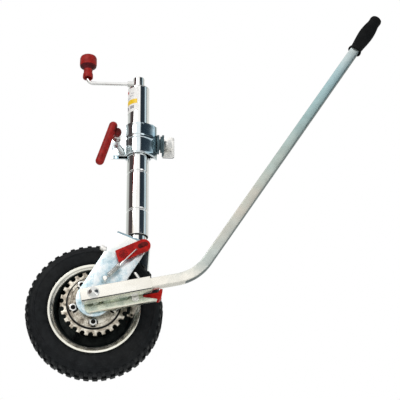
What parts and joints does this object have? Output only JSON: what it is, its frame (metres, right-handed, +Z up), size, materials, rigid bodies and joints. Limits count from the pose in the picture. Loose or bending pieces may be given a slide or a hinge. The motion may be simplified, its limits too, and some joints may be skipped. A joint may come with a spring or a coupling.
{
  "type": "trailer tongue jack",
  "caption": "Telescoping trailer jockey wheel with a clamp and swivel bracket, a crank, and a ratchet lever that turns its pneumatic wheel.",
  "frame": {"origin": "on the back face of the bracket's flange, below its bolt hole, where it seats against the drawbar", "axes": "+Z up along the tube, +Y into the drawbar and away from the ratchet lever, +X from the tube towards the bracket and the lever's free end"},
  "size_m": [0.9631, 0.2775, 1.0159],
  "materials": {
    "bright_zinc": "bright zinc plate, near mirror",
    "satin_zinc": "satin blue-white zinc plate",
    "cast_steel": "machined casting, thin zinc",
    "dark_steel": "oiled dark steel",
    "red_paint": "red gloss paint",
    "red_plastic": "moulded red plastic",
    "tyre_rubber": "black tyre rubber",
    "grip_rubber": "black ribbed rubber",
    "bush_plastic": "black bearing plastic",
    "brass": "turned brass",
    "label_film": "white printed film without lettering"
  },
  "bodies": {
    "mount": {"mount_bracket": "satin_zinc"},
    "clamp": {"swivel_plate": "satin_zinc", "swivel_pin": "bright_zinc", "swivel_spring": "satin_zinc", "swivel_nut": "bright_zinc", "clamp_front_shell": "satin_zinc", "clamp_rear_shell": "satin_zinc", "clamp_sleeve": "bright_zinc", "clamp_nut": "bright_zinc"},
    "clamp_handle": {"clamp_lever": "red_paint", "clamp_screw": "bright_zinc"},
    "tube": {"outer_tube": "bright_zinc", "top_cap": "bright_zinc", "thrust_bearing": "dark_steel", "lower_bush": "bush_plastic", "label": "label_film"},
    "crank": {"crank_hub": "bright_zinc", "crank_rod": "bright_zinc", "crank_roll_pin": "dark_steel", "lead_screw": "cast_steel"},
    "knob": {"crank_knob": "red_plastic"},
    "carrier": {"drive_nut": "brass"},
    "fork": {"fork": "satin_zinc", "inner_tube": "bright_zinc", "axle_bolt": "bright_zinc", "axle_nut": "bright_zinc", "axle_washer_near": "bright_zinc", "axle_washer_far": "bright_zinc", "axle_spacer_near": "bright_zinc", "axle_spacer_far": "bright_zinc", "stop_stud": "bright_zinc", "brake_spring_post": "bright_zinc", "brake_spring": "bright_zinc"},
    "wheel": {"tyre": "tyre_rubber", "rim_near": "bright_zinc", "rim_far": "bright_zinc", "valve_stem": "grip_rubber", "wheel_hub": "cast_steel", "hub_spacer": "dark_steel", "ratchet_wheel": "cast_steel", "hub_bolt_1": "bright_zinc", "hub_bolt_2": "bright_zinc", "hub_bolt_3": "bright_zinc", "hub_bolt_4": "bright_zinc", "hub_bolt_5": "bright_zinc", "bearing_near": "dark_steel", "bearing_far": "dark_steel"},
    "brake_pawl": {"brake_thumb_lever": "red_paint", "brake_shaft": "dark_steel", "brake_finger": "dark_steel"},
    "lever": {"lever_socket": "satin_zinc", "lever_bracket": "satin_zinc", "lever_pivot_cap": "bright_zinc", "lever_peg": "bright_zinc", "drive_pawl_pin": "bright_zinc"},
    "drive_pawl": {"drive_pawl": "cast_steel", "drive_pawl_tab": "red_paint", "drive_spring": "bright_zinc"},
    "bar": {"lever_bar": "satin_zinc", "lever_grip": "grip_rubber"}
  },
  "joints": [
    {"name": "swing_up", "type": "hinge", "parent": "mount", "child": "clamp", "pos_m": [-0.028, -0.024, 0.016], "axis": [-1, 0, 0], "range_deg": [0, 90]},
    {"name": "clamp_lever_turn", "type": "hinge", "parent": "clamp", "child": "clamp_handle", "pos_m": [-0.146, -0.024, 0.007], "axis": [0, -1, 0], "range_deg": [0, 180]},
    {"name": "tube_height", "type": "slide", "parent": "clamp", "child": "tube", "axis": [0, 0, 1], "range_m": [-0.06, 0.2]},
    {"name": "crank_turn", "type": "hinge", "parent": "tube", "child": "crank", "pos_m": [-0.088, -0.024, 0.208], "axis": [0, 0, 1], "range_deg": [0, 16200]},
    {"name": "knob_turn", "type": "hinge", "parent": "crank", "child": "knob", "pos_m": [-0.233, -0.024, 0.208], "axis": [0, 0, 1], "continuous": true},
    {"name": "inner_tube_slide", "type": "slide", "parent": "tube", "child": "carrier", "axis": [0, 0, -1], "range_m": [0, 0.18]},
    {"name": "castor_turn", "type": "hinge", "parent": "carrier", "child": "fork", "pos_m": [-0.088, -0.024, -0.307], "axis": [0, 0, 1], "continuous": true},
    {"name": "wheel_spin", "type": "hinge", "parent": "fork", "child": "wheel", "pos_m": [-0.195, -0.024, -0.473], "axis": [0, 1, 0], "continuous": true},
    {"name": "brake_pawl_turn", "type": "hinge", "parent": "fork", "child": "brake_pawl", "pos_m": [-0.075, -0.124, -0.331], "axis": [0, -1, 0], "range_deg": [0, 5], "deforming": ["brake_spring"]},
    {"name": "lever_swing", "type": "hinge", "parent": "fork", "child": "lever", "pos_m": [-0.195, -0.162, -0.473], "axis": [0, 1, 0], "range_deg": [-24, 0]},
    {"name": "drive_pawl_turn", "type": "hinge", "parent": "lever", "child": "drive_pawl", "pos_m": [-0.093, -0.114, -0.472], "axis": [0, 1, 0], "range_deg": [0, 16]},
    {"name": "bar_slide", "type": "slide", "parent": "lever", "child": "bar", "axis": [0.9796, 0, 0.2011], "range_m": [0, 0.12]}
  ],
  "couplings": [
    {"joint": "inner_tube_slide", "follows": "crank_turn", "m_per_rad": 0.00063662}
  ]
}
